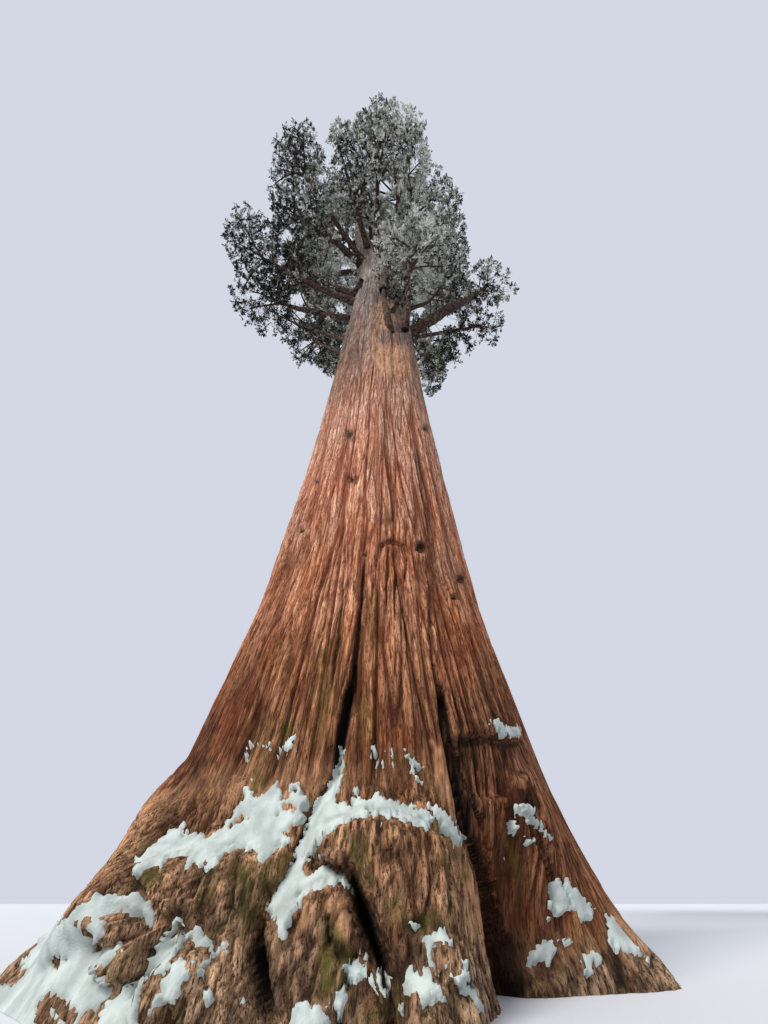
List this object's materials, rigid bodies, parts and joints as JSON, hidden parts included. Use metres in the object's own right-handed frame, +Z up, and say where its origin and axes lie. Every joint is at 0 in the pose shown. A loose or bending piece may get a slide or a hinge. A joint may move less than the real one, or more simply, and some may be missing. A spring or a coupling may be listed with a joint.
{
  "type": "giant sequoia tree",
  "caption": "Huge old conifer: a thick, fluted, red-brown trunk with a flared foot of root lobes and snow-covered ledges, short limbs and an uneven grey-green crown with a broken top.",
  "frame": {"origin": "middle of the flat cut under the trunk, at ground level", "axes": "+Z up the trunk; -Y towards the side the tree is looked at from; +X to the right seen from there"},
  "size_m": [15.1589, 15.0723, 40],
  "materials": {
    "bark": "thick fibrous red-brown bark in deep ridges and furrows",
    "bough_bark": "scaly grey-brown bark",
    "foliage": "matt grey-green needle sprays with pale frosty ones among them",
    "snow": "soft old snow, on the visual model only"
  },
  "bodies": {
    "root": {"trunk": "bark", "bough_left_low": "bough_bark", "bough_left_low_outer": "bough_bark", "bough_left_inner": "bough_bark", "bough_left_outer_low": "bough_bark", "bough_left_front_inner": "bough_bark", "bough_front_inner": "bough_bark", "bough_right_front": "bough_bark", "bough_right_upper": "bough_bark", "bough_near_trunk": "bough_bark", "bough_right_mid": "bough_bark", "bough_right_outer": "bough_bark", "bough_right_low": "bough_bark", "bough_right_hanging": "bough_bark", "bough_back_left": "bough_bark", "bough_back_left_low": "bough_bark", "bough_back_right": "bough_bark", "bough_back_outer": "bough_bark", "bough_back_upper": "bough_bark", "bough_right_back": "bough_bark", "bough_left_back": "bough_bark", "bough_top_left": "bough_bark", "foliage_left_low": "foliage", "foliage_left_low_outer": "foliage", "foliage_left_inner": "foliage", "foliage_left_outer_low": "foliage", "foliage_left_outer": "foliage", "foliage_left_front_inner": "foliage", "foliage_left_front_outer": "foliage", "foliage_front_spire": "foliage", "foliage_front_outer": "foliage", "foliage_front_right_outer": "foliage", "foliage_front_inner": "foliage", "foliage_right_front": "foliage", "foliage_right_upper": "foliage", "foliage_near_trunk": "foliage", "foliage_right_mid": "foliage", "foliage_right_outer": "foliage", "foliage_right_low": "foliage", "foliage_right_hanging": "foliage", "foliage_back_left": "foliage", "foliage_back_left_low": "foliage", "foliage_back_right": "foliage", "foliage_back_outer": "foliage", "foliage_back_upper": "foliage", "foliage_right_back": "foliage", "foliage_left_back": "foliage", "foliage_top_left": "foliage", "foliage_top_right": "foliage", "foliage_top_front": "foliage", "foliage_crown_top": "foliage"}
  },
  "joints": []
}
